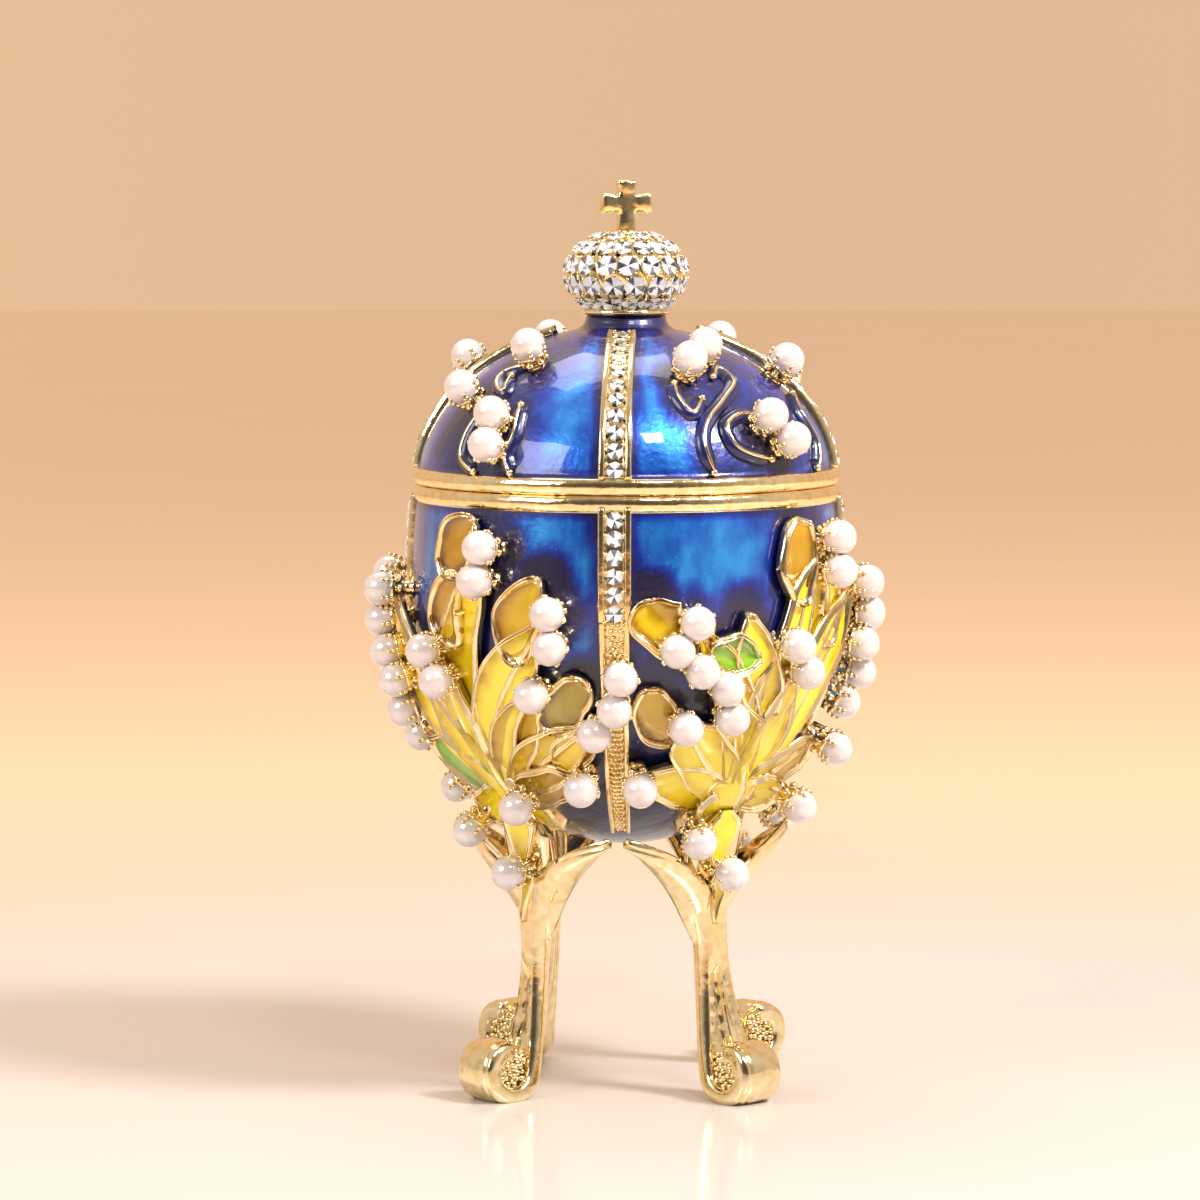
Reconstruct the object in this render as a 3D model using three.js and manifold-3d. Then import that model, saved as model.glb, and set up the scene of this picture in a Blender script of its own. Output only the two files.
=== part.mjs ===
// Egg-shaped trinket box: a hollow enamelled cup and its lift-off lid, a jewelled crown finial,
// four scroll-footed legs that branch into leaf sprays, and pearls set in touching chains.
// Millimetres, +Z up. The origin is the middle of the footprint on the table, and the front faces -Y.
// Azimuths are degrees from the front, positive towards +X.
import * as THREE from "three";
import { mergeVertices } from "three/addons/utils/BufferGeometryUtils.js";
import Module from "manifold-3d";

const wasm = await Module();
wasm.setup();

// Driving dimensions of the egg
const SEAM_Z = 70;
const WALL = 1.6;
const FIT_GAP = 0.3;
const ROUND_SIDES = 24;
const CUP = { radius: 24.8, centre: 58, below: 30, seamRadius: 24.1 };
const LID = { radius: 24.1, centre: SEAM_Z, reach: 18.3, flareAngle: 76, neckRadius: 4.6, neckZ: 89.4 };
const RIM = { radius: 24.7, height: 1.8, chamfer: 0.3 };
const COLLAR = { inner: 21.5, outer: 22.5, rise: 1.2, depth: 3 };

// Straight stone-set bands that run down the egg between the legs
const BAND = { width: 3.9, proud: 0.5, sunk: 0.4, cupFrom: 31, cupTo: 68.6, lidFrom: 71, lidTo: 87 };

// Crown finial and the cross on it
const CROWN = { collar: 1.0, bulbRadius: 7.1, bulbCentre: 94.2, bulbReach: 4.5, bulbTop: 76 };
const CROWN_LOBES = { count: 8, depth: 0.07, turn: 20, twist: -14 };
const CROSS = { base: 98.9, arms: 102.3, top: 105, span: 6, bar: 1.9, flare: 0.3, depth: 2, neck: 2.3 };

// Legs: a waisted shaft that ends in a scroll, all in one upright plane
const SHAFT = { top: [15.9, 33.5], high: [13.2, 25], low: [13.2, 12.5] };
const SCROLL = { centre: [19.9, 3.85], start: 200, end: 500, startReach: 3.7, endReach: 1.45 };
const LEG = { rings: 14, sides: 6, shaftShare: 0.55, shoulder: 0.1, waist: 0.33, foot: 0.62 };
const LEG_WIDTH = { top: 3.9, waist: 1.5, foot: 3.1, tip: 2.8 };
const LEG_DEPTH = { top: 1.3, waist: 1.7, foot: 1.3, tip: 1.5 };
const LOBE = { root: [13.5, 16.5], bend: [14, 23], tip: [18.4, 30], width: 6, thick: 1.3 };
const LOBE_TURN = { swing: 42.5, sweep: 1.9 };

// Leaves stand just off the egg, and the pearls just off the leaves
const LEAF = { rootZ: 35, rootShare: 0.1, lift: 0.35, thick: 1.0, facet: 11 };
const BOSS = { low: 32.3, high: 40, width: 9, thick: 1.5 };
const PEARL = { radius: 2, touch: 0.96, overLeaf: 3.8, overLid: 2.7, kneeZ: 25.6, kneeOut: 3.8 };
// A twenty-faced bead of this reach has the same volume as the round pearl.
const BEAD_REACH = PEARL.radius * 1.18;
const BEAD_CORNER = new THREE.Vector3(0, 1, (1 + Math.sqrt(5)) / 2).normalize();

// One row a leaf: where it ends (degrees from its leg, height), its bow, width and how far the tip curls off
// the egg, and the chain of pearls at its tip. A chain lists the heading from each pearl to the next (0 is
// down, 90 is towards +azimuth), so an empty one is a single pearl.
const SPRAY_A = [
  { to: [12.7, 63.9], bow: -8, width: 6, curl: 0, chain: [-11] },
  { to: [30, 57.1], bow: -4, width: 6.4, curl: 0, chain: [3] },
  { to: [-7, 52.5], bow: -3, width: 6.4, curl: 0, chain: [28] },
  { to: [24.9, 48.6], bow: 0, width: 5.6, curl: 0, chain: [] },
  { to: [40.2, 44.9], bow: 1, width: 6, curl: 0.4, chain: [140, 168] },
  { to: [35.2, 39.2], bow: 0, width: 5.6, curl: 0.6, chain: [] },
  { to: [12.3, 37], bow: 0, width: 5, curl: 0.9, chain: [] },
  { to: [-21, 34.4], bow: 0, width: 6, curl: 2, chain: [] },
  { to: [-34, 58], bow: -3, width: 6.4, curl: 0, chain: [-20, 24, 30, -16] },
  { to: [-31, 42], bow: -2, width: 7, curl: 1, chain: null },
];
const SPRAY_B = [
  { to: [16.4, 64.5], bow: -1, width: 8.6, curl: 0, chain: [0] },
  { to: [-25.7, 56.2], bow: 3, width: 5.6, curl: 0, chain: [-39, 54, 59, 20] },
  { to: [-27, 45.3], bow: -3, width: 7, curl: 0, chain: [] },
  { to: [1.5, 53.3], bow: 0, width: 7.2, curl: 0, chain: [38] },
  { to: [-38, 39.2], bow: 0, width: 6.2, curl: 0.6, chain: [] },
  { to: [-15, 34], bow: 0, width: 5.6, curl: 1.6, chain: [] },
  { to: [22, 37], bow: 0, width: 6, curl: 2, chain: [] },
  { to: [31, 42], bow: 2, width: 7, curl: 1, chain: [] },
  { to: [34, 59], bow: -5, width: 8, curl: 0, chain: [22, -24, 28] },
];
const LID_A = [
  { start: [6.5, 84.1], chain: [] },
  { start: [-9, 79.9], chain: [] },
  { start: [9.2, 77.6], chain: [8] },
];
const LID_B = [
  { start: [-9.5, 84.2], chain: [-50] },
  { start: [0, 77.4], chain: [40] },
  { start: [30, 82.4], chain: [] },
];
// Opposite corners match, so that the whole box looks the same turned half round.
const CORNERS = [
  { name: "front_left", azimuth: -45, spray: SPRAY_A, lidSprigs: LID_A },
  { name: "front_right", azimuth: 45, spray: SPRAY_B, lidSprigs: LID_B },
  { name: "back_right", azimuth: 135, spray: SPRAY_A, lidSprigs: LID_A },
  { name: "back_left", azimuth: -135, spray: SPRAY_B, lidSprigs: LID_B },
];
const BAND_AZIMUTHS = [0, 90, 180, 270];

const ENAMEL = new THREE.MeshStandardMaterial({ color: 0x0a2a9a, roughness: 0.12, metalness: 0.4 });
const GOLD = new THREE.MeshStandardMaterial({ color: 0xe6c277, roughness: 0.18, metalness: 1 });
const NACRE = new THREE.MeshStandardMaterial({ color: 0xf3ece6, roughness: 0.22, metalness: 0 });

const radians = THREE.MathUtils.degToRad;
const mix = THREE.MathUtils.lerp;

// Solids

// A closed geometry as a solid that can be joined and cut, without the flat triangles of a lathe's poles.
function solid(geometry) {
  const bare = new THREE.BufferGeometry();
  bare.setAttribute("position", geometry.getAttribute("position"));
  bare.setIndex(geometry.index);
  const merged = mergeVertices(bare, 1e-4);
  const corners = merged.index.array;
  const kept = [];
  for (let i = 0; i < corners.length; i += 3) {
    const [a, b, c] = corners.subarray(i, i + 3);
    if (a !== b && b !== c && c !== a) kept.push(a, b, c);
  }
  const vertProperties = new Float32Array(merged.getAttribute("position").array);
  return new wasm.Manifold(new wasm.Mesh({ numProp: 3, vertProperties, triVerts: new Uint32Array(kept) }));
}

function joined(solids) {
  return solids.reduce((whole, next) => whole.add(next));
}

function named(name, body, material) {
  const mesh = body.getMesh();
  const geometry = new THREE.BufferGeometry();
  geometry.setAttribute("position", new THREE.BufferAttribute(mesh.vertProperties, 3));
  geometry.setIndex(new THREE.BufferAttribute(mesh.triVerts, 1));
  geometry.computeVertexNormals();
  const made = new THREE.Mesh(geometry, material);
  made.name = name;
  return made;
}

// A profile of [radius, height] points, turned about Z.
function turned(profile, sides = ROUND_SIDES) {
  const points = profile.map(([r, z]) => new THREE.Vector2(r, z));
  return new THREE.LatheGeometry(points, sides).rotateX(Math.PI / 2);
}

// Moves every vertex of a geometry to place(x, y, z).
function bend(geometry, place) {
  const at = geometry.getAttribute("position");
  for (let i = 0; i < at.count; i++) {
    const p = place(at.getX(i), at.getY(i), at.getZ(i));
    at.setXYZ(i, p.x, p.y, p.z);
  }
  return geometry;
}

// The egg's surface

function around(azimuth, r, z) {
  const a = radians(azimuth);
  return new THREE.Vector3(r * Math.sin(a), -r * Math.cos(a), z);
}

// The cup narrows so slowly above its widest level that it meets the seam at its seam radius.
const CUP_ABOVE = (SEAM_Z - CUP.centre) / Math.sqrt(1 - (CUP.seamRadius / CUP.radius) ** 2);

// The ellipsoid that the egg follows at a height.
function domeAt(z) {
  if (z > SEAM_Z) return LID;
  return { radius: CUP.radius, centre: CUP.centre, reach: z < CUP.centre ? CUP.below : CUP_ABOVE };
}

function eggRadius(z) {
  const { radius, centre, reach } = domeAt(z);
  return radius * Math.sqrt(Math.max(0, 1 - ((z - centre) / reach) ** 2));
}

// A point held off the egg's surface, and the outward direction there.
function onEgg(azimuth, z, standoff = 0) {
  const { radius, centre, reach } = domeAt(z);
  const r = eggRadius(z);
  const out = new THREE.Vector2(r / radius ** 2, (z - centre) / reach ** 2).normalize();
  const point = around(azimuth, r + standoff * out.x, z + standoff * out.y);
  return { point, normal: around(azimuth, out.x, out.y) };
}

// An arc of an ellipse as profile points, between two angles above the horizontal.
function arc(radius, centre, reach, fromAngle, toAngle, steps) {
  return Array.from({ length: steps + 1 }, (_, i) => {
    const a = radians(mix(fromAngle, toAngle, i / steps));
    return [radius * Math.cos(a), centre + reach * Math.sin(a)];
  });
}

// Angle on an ellipse of that reach at a height above its centre.
function angleAt(rise, reach) {
  return THREE.MathUtils.radToDeg(Math.asin(rise / reach));
}

// Blades: a box whose x runs across, y along and z through the blade, bent along a path

function blade({ across, along, path, halfWidth, bottom, top }) {
  const step = 1e-3;
  return bend(new THREE.BoxGeometry(1, 1, 1, across, along, 1), (x, y, z) => {
    const t = y + 0.5;
    const { point, normal } = path(t);
    const ahead = path(Math.min(1, t + step)).point.sub(path(Math.max(0, t - step)).point);
    const side = ahead.cross(normal).normalize();
    const height = z < 0 ? bottom(t, 2 * x) : top(t, 2 * x);
    return point.addScaledVector(side, 2 * x * halfWidth(t)).addScaledVector(normal, height);
  });
}

// A leaf narrows at both ends. It has as many facets as its length needs.
function leaf({ to, bow, width, curl }) {
  const path = (t) => {
    const share = mix(LEAF.rootShare, 1, t);
    const azimuth = to[0] * share + bow * Math.sin(Math.PI * share);
    return onEgg(azimuth, mix(LEAF.rootZ, to[1], share));
  };
  const length = path(0).point.distanceTo(path(1).point);
  return blade({
    across: 1,
    along: Math.ceil(length / LEAF.facet),
    path,
    halfWidth: (t) => (width / 2) * (0.4 + 0.6 * Math.sin(Math.PI * t)),
    bottom: (t) => LEAF.lift + curl * t ** 2,
    top: (t) => LEAF.lift + LEAF.thick + curl * t ** 2,
  });
}

// The boss at the top of a leg that the leaves spring from.
function boss() {
  return blade({
    across: 2,
    along: 3,
    path: (t) => onEgg(0, mix(BOSS.low, BOSS.high, t)),
    halfWidth: (t) => (BOSS.width / 2) * (0.6 + 0.4 * Math.sin(Math.PI * t)),
    bottom: () => LEAF.lift,
    top: (t, s) => LEAF.lift + BOSS.thick * (1 - 0.4 * s * s),
  });
}

// A flat strip up the egg, let a little into its wall.
function band(azimuth, lowZ, highZ, along) {
  const { centre, reach } = domeAt((lowZ + highZ) / 2);
  const low = radians(angleAt(lowZ - centre, reach));
  const high = radians(angleAt(highZ - centre, reach));
  return blade({
    across: 1,
    along,
    path: (t) => onEgg(azimuth, centre + reach * Math.sin(mix(low, high, t))),
    halfWidth: () => BAND.width / 2,
    bottom: () => -BAND.sunk,
    top: () => BAND.proud,
  });
}

// Cup and lid

function cup() {
  const rimLow = SEAM_Z - RIM.height;
  const innerRadius = CUP.radius - WALL;
  const innerReach = CUP.below - WALL;
  const collarLow = SEAM_Z - COLLAR.depth;
  const profile = [
    ...arc(CUP.radius, CUP.centre, CUP.below, -90, 0, 7),
    [eggRadius(rimLow), rimLow],
    [RIM.radius, rimLow + RIM.chamfer],
    [RIM.radius, SEAM_Z],
    [COLLAR.outer, SEAM_Z],
    [COLLAR.outer, SEAM_Z + COLLAR.rise],
    [COLLAR.inner, SEAM_Z + COLLAR.rise],
    [COLLAR.inner, collarLow],
    [eggRadius(collarLow - WALL) - WALL, collarLow - WALL],
    ...arc(innerRadius, CUP.centre, innerReach, 0, -90, 4),
  ];
  const bands = BAND_AZIMUTHS.map((a) => solid(band(a, BAND.cupFrom, BAND.cupTo, 6)));
  return joined([solid(turned(profile)), ...bands]);
}

function lid() {
  const seat = COLLAR.outer + FIT_GAP;
  const seatHigh = SEAM_Z + COLLAR.rise + FIT_GAP;
  const innerRadius = LID.radius - WALL;
  const innerReach = LID.reach - WALL;
  const profile = [
    ...arc(innerRadius, SEAM_Z, innerReach, 90, angleAt(seatHigh + 1 - SEAM_Z, innerReach), 3),
    [seat, seatHigh],
    [seat, SEAM_Z],
    [RIM.radius, SEAM_Z],
    [RIM.radius, SEAM_Z + RIM.height - RIM.chamfer],
    ...arc(LID.radius, SEAM_Z, LID.reach, angleAt(RIM.height, LID.reach), LID.flareAngle, 7),
    [LID.neckRadius + 0.25, LID.neckZ - 1],
    [LID.neckRadius, LID.neckZ],
    [0, LID.neckZ],
  ];
  const bands = BAND_AZIMUTHS.map((a) => solid(band(a, BAND.lidFrom, BAND.lidTo, 5)));
  return joined([solid(turned(profile)), ...bands]);
}

// Crown finial: a lobed bulb on a collar, with a cross whose arms widen to their ends

function crossShape() {
  const { base, arms, top, span, bar, flare } = CROSS;
  const half = bar / 2;
  const end = half + flare;
  const armLow = arms - half;
  const armHigh = arms + half;
  const shape = new THREE.Shape();
  shape.moveTo(-end, base);
  shape.lineTo(end, base);
  shape.lineTo(half, armLow);
  shape.lineTo(span / 2, arms - end);
  shape.lineTo(span / 2, arms + end);
  shape.lineTo(half, armHigh);
  shape.lineTo(end, top);
  shape.lineTo(-end, top);
  shape.lineTo(-half, armHigh);
  shape.lineTo(-span / 2, arms + end);
  shape.lineTo(-span / 2, arms - end);
  shape.lineTo(-half, armLow);
  return shape;
}

function crown() {
  const { collar, bulbRadius, bulbCentre, bulbReach, bulbTop } = CROWN;
  const { count, depth, twist } = CROWN_LOBES;
  const collarTop = LID.neckZ + collar;
  const bulbLow = angleAt(collarTop - bulbCentre, bulbReach);
  const capZ = bulbCentre + bulbReach + 0.4;
  const profile = [
    [0, LID.neckZ],
    [LID.neckRadius, LID.neckZ],
    ...arc(bulbRadius, bulbCentre, bulbReach, bulbLow, bulbTop, 6),
    [CROSS.neck, capZ],
    [0, capZ],
  ];
  const bulb = bend(turned(profile), (x, y, z) => {
    const turn = Math.atan2(y, x) - radians(twist) * ((z - bulbCentre) / bulbReach);
    const swell = z > collarTop ? 1 - depth * Math.abs(Math.cos((count / 2) * turn)) : 1;
    return new THREE.Vector3(x * swell, y * swell, z);
  });
  const cross = new THREE.ExtrudeGeometry(crossShape(), { depth: CROSS.depth, bevelEnabled: false });
  cross.translate(0, 0, -CROSS.depth / 2).rotateX(Math.PI / 2);
  return joined([solid(bulb), solid(cross)]);
}

// Legs

// Centre line of a leg as [radius, height]: the shaft comes down to the start of the scroll and winds in.
const scrollPoint = (turn) => {
  const a = radians(mix(SCROLL.start, SCROLL.end, turn));
  const reach = mix(SCROLL.startReach, SCROLL.endReach, turn);
  return new THREE.Vector2(SCROLL.centre[0] + reach * Math.cos(a), SCROLL.centre[1] + reach * Math.sin(a));
};
const shaft = new THREE.CubicBezierCurve(
  new THREE.Vector2(...SHAFT.top),
  new THREE.Vector2(...SHAFT.high),
  new THREE.Vector2(...SHAFT.low),
  scrollPoint(0),
);

function legLine(t) {
  if (t < LEG.shaftShare) return shaft.getPoint(t / LEG.shaftShare);
  return scrollPoint((t - LEG.shaftShare) / (1 - LEG.shaftShare));
}

// Sizes that change along the leg: from its broad top to the waist, the foot and the tip of the scroll.
function alongLeg(sizes, t) {
  const { shoulder, waist, foot } = LEG;
  if (t < waist) return mix(sizes.top, sizes.waist, THREE.MathUtils.smoothstep(t, shoulder, waist));
  if (t < foot) return mix(sizes.waist, sizes.foot, THREE.MathUtils.smoothstep(t, waist, foot));
  return mix(sizes.foot, sizes.tip, (t - foot) / (1 - foot));
}

// The section has flat faces inwards and outwards, so that the foot stands flat.
function legShaft() {
  const step = 1e-3;
  const bar = new THREE.CylinderGeometry(1, 1, 1, LEG.sides, LEG.rings, false, Math.PI / LEG.sides);
  return bend(bar, (x, y, z) => {
    const t = y + 0.5;
    const middle = legLine(t);
    const ahead = legLine(Math.min(1, t + step)).sub(legLine(Math.max(0, t - step))).normalize();
    const depth = z * alongLeg(LEG_DEPTH, t);
    const point = around(0, middle.x + depth * ahead.y, middle.y - depth * ahead.x);
    point.x = x * alongLeg(LEG_WIDTH, t);
    return point;
  });
}

// A pointed lobe that swells out of the leg like the mouth of a trumpet and stands free below the egg.
function lobe(side) {
  const curve = new THREE.QuadraticBezierCurve(
    new THREE.Vector2(...LOBE.root),
    new THREE.Vector2(...LOBE.bend),
    new THREE.Vector2(...LOBE.tip),
  );
  const path = (t) => {
    const { x, y } = curve.getPoint(t);
    const azimuth = side * LOBE_TURN.swing * t ** LOBE_TURN.sweep;
    return { point: around(azimuth, x, y), normal: around(azimuth, 0.8, -0.6) };
  };
  return blade({
    across: 1,
    along: 4,
    path,
    halfWidth: (t) => (LOBE.width / 2) * (0.42 + 1.55 * t - 1.8 * t * t),
    bottom: () => -LOBE.thick / 2,
    top: () => LOBE.thick / 2,
  });
}

// The foot's underside is ground flat on the table.
function leg(spray) {
  const leaves = spray.map((row) => solid(leaf(row)));
  const whole = joined([solid(legShaft()), solid(boss()), solid(lobe(-1)), solid(lobe(1)), ...leaves]);
  const aboveTable = new THREE.BoxGeometry(120, 120, 120).translate(0, 0, 60);
  return whole.intersect(solid(aboveTable));
}

// Pearls

// A bead with a corner towards its neighbours, so that touching beads grow together.
function bead(point, towards = BEAD_CORNER) {
  const turn = new THREE.Quaternion().setFromUnitVectors(BEAD_CORNER, towards);
  const geometry = new THREE.IcosahedronGeometry(BEAD_REACH, 0).applyQuaternion(turn);
  return solid(geometry.translate(point.x, point.y, point.z));
}

// Centres of a chain of touching pearls that starts at an azimuth and height on the egg.
function chainPoints([azimuth, z], headings, standoff) {
  const reach = 2 * PEARL.radius * PEARL.touch;
  const points = [onEgg(azimuth, z, standoff).point];
  for (const heading of headings) {
    const bearing = radians(heading);
    const last = points.at(-1);
    const r = Math.hypot(last.x, last.y);
    const slope = onEgg(azimuth, z).normal.setZ(0).length();
    let stride = reach;
    let next = null;
    for (let k = 0; k < 6; k++) {
      next = {
        azimuth: azimuth + THREE.MathUtils.radToDeg((stride * Math.sin(bearing)) / r),
        z: z - stride * Math.cos(bearing) * slope,
      };
      next.point = onEgg(next.azimuth, next.z, standoff).point;
      stride *= reach / next.point.distanceTo(last);
    }
    azimuth = next.azimuth;
    z = next.z;
    points.push(next.point);
  }
  return points;
}

function chain(start, links, standoff) {
  const points = chainPoints(start, links, standoff);
  if (points.length === 1) return bead(points[0]);
  const last = points.length - 1;
  return joined(points.map((point, i) => {
    const along = points[Math.min(i + 1, last)].clone().sub(points[Math.max(i - 1, 0)]).normalize();
    return bead(point, along);
  }));
}

// The pearl on the outer face of a leg, just below the spray.
function kneePearl() {
  const at = shaft.getPoint((SHAFT.top[1] - PEARL.kneeZ) / (SHAFT.top[1] - SCROLL.centre[1]));
  return bead(around(0, at.x + PEARL.kneeOut, at.y));
}

// The whole box

const box = new THREE.Group();
box.name = "egg_trinket_box";
box.add(named("egg_cup", cup(), ENAMEL));
box.add(named("egg_lid", lid(), ENAMEL));

const finial = named("crown_finial", crown(), GOLD);
finial.rotation.z = radians(CROWN_LOBES.turn);
box.add(finial);

for (const { name, azimuth, spray, lidSprigs } of CORNERS) {
  const corner = new THREE.Group();
  corner.rotation.z = radians(azimuth);
  corner.add(named(`leg_${name}`, leg(spray), GOLD));
  const sprays = spray.filter((row) => row.chain);
  sprays.forEach((row, i) => {
    corner.add(named(`pearls_${name}_${i + 1}`, chain(row.to, row.chain, PEARL.overLeaf + row.curl), NACRE));
  });
  corner.add(named(`pearls_${name}_knee`, kneePearl(), NACRE));
  lidSprigs.forEach(({ start, chain: links }, i) => {
    corner.add(named(`lid_pearls_${name}_${i + 1}`, chain(start, links, PEARL.overLid), NACRE));
  });
  box.add(corner);
}

export default box;
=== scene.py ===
"""Dresses the egg-shaped trinket box: enamel, gold, leaf sprays, pearls and cut stones."""

from math import asin, atan2, copysign, cos, degrees, exp, hypot, pi, radians, sin, sqrt, tau
from types import SimpleNamespace as Sizes

import bmesh
import bpy
from mathutils import Matrix, Vector, noise


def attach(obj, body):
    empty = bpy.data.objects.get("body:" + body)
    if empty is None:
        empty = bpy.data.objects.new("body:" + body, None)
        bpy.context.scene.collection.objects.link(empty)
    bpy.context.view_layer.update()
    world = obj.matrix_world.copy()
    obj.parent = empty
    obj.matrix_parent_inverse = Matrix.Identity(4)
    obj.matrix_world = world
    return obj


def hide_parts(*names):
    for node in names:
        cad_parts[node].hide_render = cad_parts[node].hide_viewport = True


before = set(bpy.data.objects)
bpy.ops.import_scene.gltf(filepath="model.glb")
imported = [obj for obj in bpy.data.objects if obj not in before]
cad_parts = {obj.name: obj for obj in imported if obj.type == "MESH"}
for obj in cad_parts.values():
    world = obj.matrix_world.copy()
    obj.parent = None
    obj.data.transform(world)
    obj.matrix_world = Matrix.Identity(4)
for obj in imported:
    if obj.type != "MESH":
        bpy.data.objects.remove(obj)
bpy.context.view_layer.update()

MM = 0.001

# The egg and its fittings, in millimetres
SEAM_Z = 70.0
WALL = 1.6
CUP = Sizes(radius=24.8, centre=58.0, below=30.0, seam_radius=24.1)
LID = Sizes(radius=24.1, reach=18.3, flare_angle=76.0, neck_radius=4.6, neck_z=89.4)
CUP_ABOVE = (SEAM_Z - CUP.centre) / sqrt(1 - (CUP.seam_radius / CUP.radius) ** 2)
CUP_HEIGHTS = (59.5, 61, 62.5, 64, 65.5, 67)
LID_NECK = ((5.4, 87.95), (5.0, 88.25), (4.75, 88.7))
SHELL_STEPS = 144
RIM = Sizes(middle=24.2, bulge=0.55, height=1.9, off_seam=0.97, gap=0.03)
COLLAR = Sizes(inner=21.5, outer=22.5, rise=1.2, depth=3.0, gap=0.3)
BAND = Sizes(half=1.95, cup_from=31.0, stones_from=55.8, cup_to=68.3, lid_from=71.7, lid_to=87.2)
BAND_AZIMUTHS = (0, 90, 180, 270)
STONE = Sizes(radius=0.98, pitch=2.04, height=0.58, turn=0.4)
CLAW = Sizes(ahead=0.03, across=0.92, height=0.68, size=0.27)
GRAIN = Sizes(pitch=0.66, column=0.6, stagger=0.15, height=0.22, large=0.36, small=0.27)
CROWN = Sizes(bulb=6.9, centre=94.2, reach=4.5, lobes=8, lobe_depth=0.09, turn=20.0, twist=-14.0)
CROWN_COLLAR = ((5.1, 89.55), (5.25, 89.85), (5.05, 90.15))
CROWN_CAP = ((2.35, 98.65), (2.3, 98.95), (1.6, 99.2), (0.0, 99.3))
# Rows of stones on the crown: latitude, radius, and the spread of a lobe's two stones, 0 for a single one
CROWN_ROWS = ((-42, 1.12, 0.23), (-15, 1.26, 0.235), (12, 1.26, 0.235), (38, 1.16, 0.22), (61, 1.05, 0.0))
CROWN_CLAW = Sizes(count=4, across=1.04, height=0.12, size=0.2)
CROSS = Sizes(base=98.7, arms=102.3, top=105.0, span=6.0, bar=1.9, flare=0.3, depth=2.0, rounding=0.42)
# The blue enamel: how far it lies deep beside metal, how it darkens towards the middle of each lid panel, the
# heights over which painted shade darkens the cup towards its bottom, and its unevenness as depth and rate of
# each wave
BLUE_POOL_AND_SHADE = Sizes(edge=0.8, edge_reach=1.3, spot_reach=2.3, lid=0.75, lid_degrees=(14, 32), cup_heights=(36, 41))
WAVES = ((0.08, 0.22), (0.03, 0.6))

# A leg, from the top of its shaft to the tip of the scroll, as radius and height
SHAFT = ((15.9, 33.5), (13.2, 25.0), (13.2, 12.5))
SCROLL = Sizes(centre=(19.9, 3.85), start=200, end=500, start_reach=3.7, end_reach=1.45)
LEG = Sizes(shaft_share=0.55, shoulder=0.1, waist=0.33, foot=0.62)
LEG_WIDTH = Sizes(top=3.9, waist=1.5, foot=3.1, tip=2.8)
LEG_DEPTH = Sizes(top=1.2, waist=1.5, foot=1.15, tip=1.35)
ROLL = Sizes(radius=2.45, half=2.2, end_crumbs=36, crumb_turn=2.4, crumb_reach=2.3)
NOOK = Sizes(crumbs=24, radius=17.9, height=4.6)
LOBE = Sizes(root=(13.5, 16.5), bend=(14.0, 23.0), tip=(18.4, 30.0), swing=42.5, sweep=1.9, width=6.0)

# Enamel let into a leg: from, to, width and lean
INLAYS = ((0.0, 0.15, 0.78, 0.05), (0.12, 0.25, 0.42, 0.16))
FAN = Sizes(low=33.5, high=46.0)
BOSS = Sizes(low=31.6, high=40.5, half=4.1)
PEARL = Sizes(radius=2.0, touch=0.96, over_leaf=3.8, over_lid=2.7, knee_z=25.6, knee_out=3.8, seat_turn=1.3)
# A pearl's seat, from the pearl's middle: the cup's profile, and the grains as tilt, size, reach and swing
SEAT_CUP = ((0.8, -2.4), (1.25, -1.9), (1.7, -1.35), (1.84, -1.0), (1.7, -1.08), (0, -1.7))
SEAT_GRAINS = ((-36, 0.40, 2.04, 0.0), (-17, 0.36, 2.04, 0.0), (0, 0.29, 2.04, 0.0), (-58, 0.52, 2.5, 0.5))
SEAT_CLAWS = 6

# A row for each leaf: its end (degrees from its leg, height), bow, width, curl of the tip off the egg, the
# headings from pearl to pearl at its tip (None bears no pearl), veins, and tint from 0 yellow over 0.5 amber
# to 1 green
LEAF_ROOT = (0, 35.0)
LEAF_FROM = 0.1
LEAF_LIFT = 0.35
LEAF_STEP = 0.2
SPRAY_A = (
    ((12.7, 63.9), -8, 6.0, 0.0, (-11,), 0, 0.1),
    ((30, 57.1), -4, 6.4, 0.0, (3,), 1, 0.0),
    ((-7, 52.5), -3, 6.4, 0.0, (28,), 1, 0.1),
    ((24.9, 48.6), 0, 5.6, 0.0, (), 0, 0.3),
    ((40.2, 44.9), 1, 6.0, 0.4, (140, 168), 1, 0.2),
    ((35.2, 39.2), 0, 5.6, 0.6, (), 0, 0.5),
    ((12.3, 37), 0, 5.0, 0.9, (), 0, 0.0),
    ((-21, 34.4), 0, 6.0, 2.0, (), 0, 0.0),
    ((-34, 58), -3, 6.4, 0.0, (-20, 24, 30, -16), 1, 0.0),
    ((-31, 42), -2, 7.0, 1.0, None, 0, 1.0),
)
SPRAY_B = (
    ((16.4, 64.5), -1, 8.6, 0.0, (0,), 2, 0.0),
    ((-25.7, 56.2), 3, 5.6, 0.0, (-39, 54, 59, 20), 1, 0.2),
    ((-27, 45.3), -3, 7.0, 0.0, (), 1, 0.0),
    ((1.5, 53.3), 0, 7.2, 0.0, (38,), 1, 0.0),
    ((-38, 39.2), 0, 6.2, 0.6, (), 0, 0.1),
    ((-15, 34), 0, 5.6, 1.6, (), 0, 0.0),
    ((22, 37), 0, 6.0, 2.0, (), 0, 0.0),
    ((31, 42), 2, 7.0, 1.0, (), 1, 0.3),
    ((34, 59), -5, 8.0, 0.0, (22, -24, 28), 2, 0.0),
)
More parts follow.
